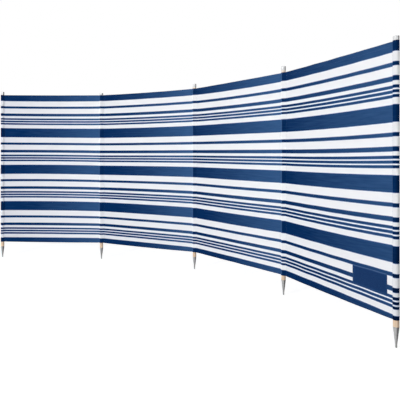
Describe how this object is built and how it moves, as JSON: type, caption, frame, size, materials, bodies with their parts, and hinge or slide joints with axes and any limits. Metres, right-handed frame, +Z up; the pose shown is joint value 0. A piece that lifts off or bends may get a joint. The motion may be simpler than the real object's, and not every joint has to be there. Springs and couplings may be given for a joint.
{
  "type": "beach windbreak",
  "caption": "Beach windbreak of striped cloth in bays, sewn into sleeves round wooden poles with steel caps and tapered ground spikes, standing in a shallow curve.",
  "frame": {"origin": "centre of the flat end of the middle pole's spike", "axes": "+Z up along the poles, +X along the row from the first pole to the last, +Y to the back of the cloth, away from the side that the curve shelters"},
  "size_m": [3.0966, 0.6379, 1.368],
  "materials": {
    "pole_wood": "smooth, unvarnished",
    "spike_steel": "satin",
    "cap_steel": "satin",
    "striped_cloth": "woven, navy and white stripes along the row",
    "label_cloth": "woven, plain navy"
  },
  "bodies": {
    "root": {"cloth_panel_1": "striped_cloth", "cloth_panel_2": "striped_cloth", "cloth_panel_3": "striped_cloth", "cloth_panel_4": "striped_cloth", "label_patch": "label_cloth", "pole_1": "pole_wood", "pole_2": "pole_wood", "pole_3": "pole_wood", "pole_4": "pole_wood", "pole_5": "pole_wood", "pole_cap_1": "cap_steel", "pole_cap_2": "cap_steel", "pole_cap_3": "cap_steel", "pole_cap_4": "cap_steel", "pole_cap_5": "cap_steel", "pole_sleeve_1": "striped_cloth", "pole_sleeve_2": "striped_cloth", "pole_sleeve_3": "striped_cloth", "pole_sleeve_4": "striped_cloth", "pole_sleeve_5": "striped_cloth", "pole_spike_1": "spike_steel", "pole_spike_2": "spike_steel", "pole_spike_3": "spike_steel", "pole_spike_4": "spike_steel", "pole_spike_5": "spike_steel"}
  },
  "joints": []
}
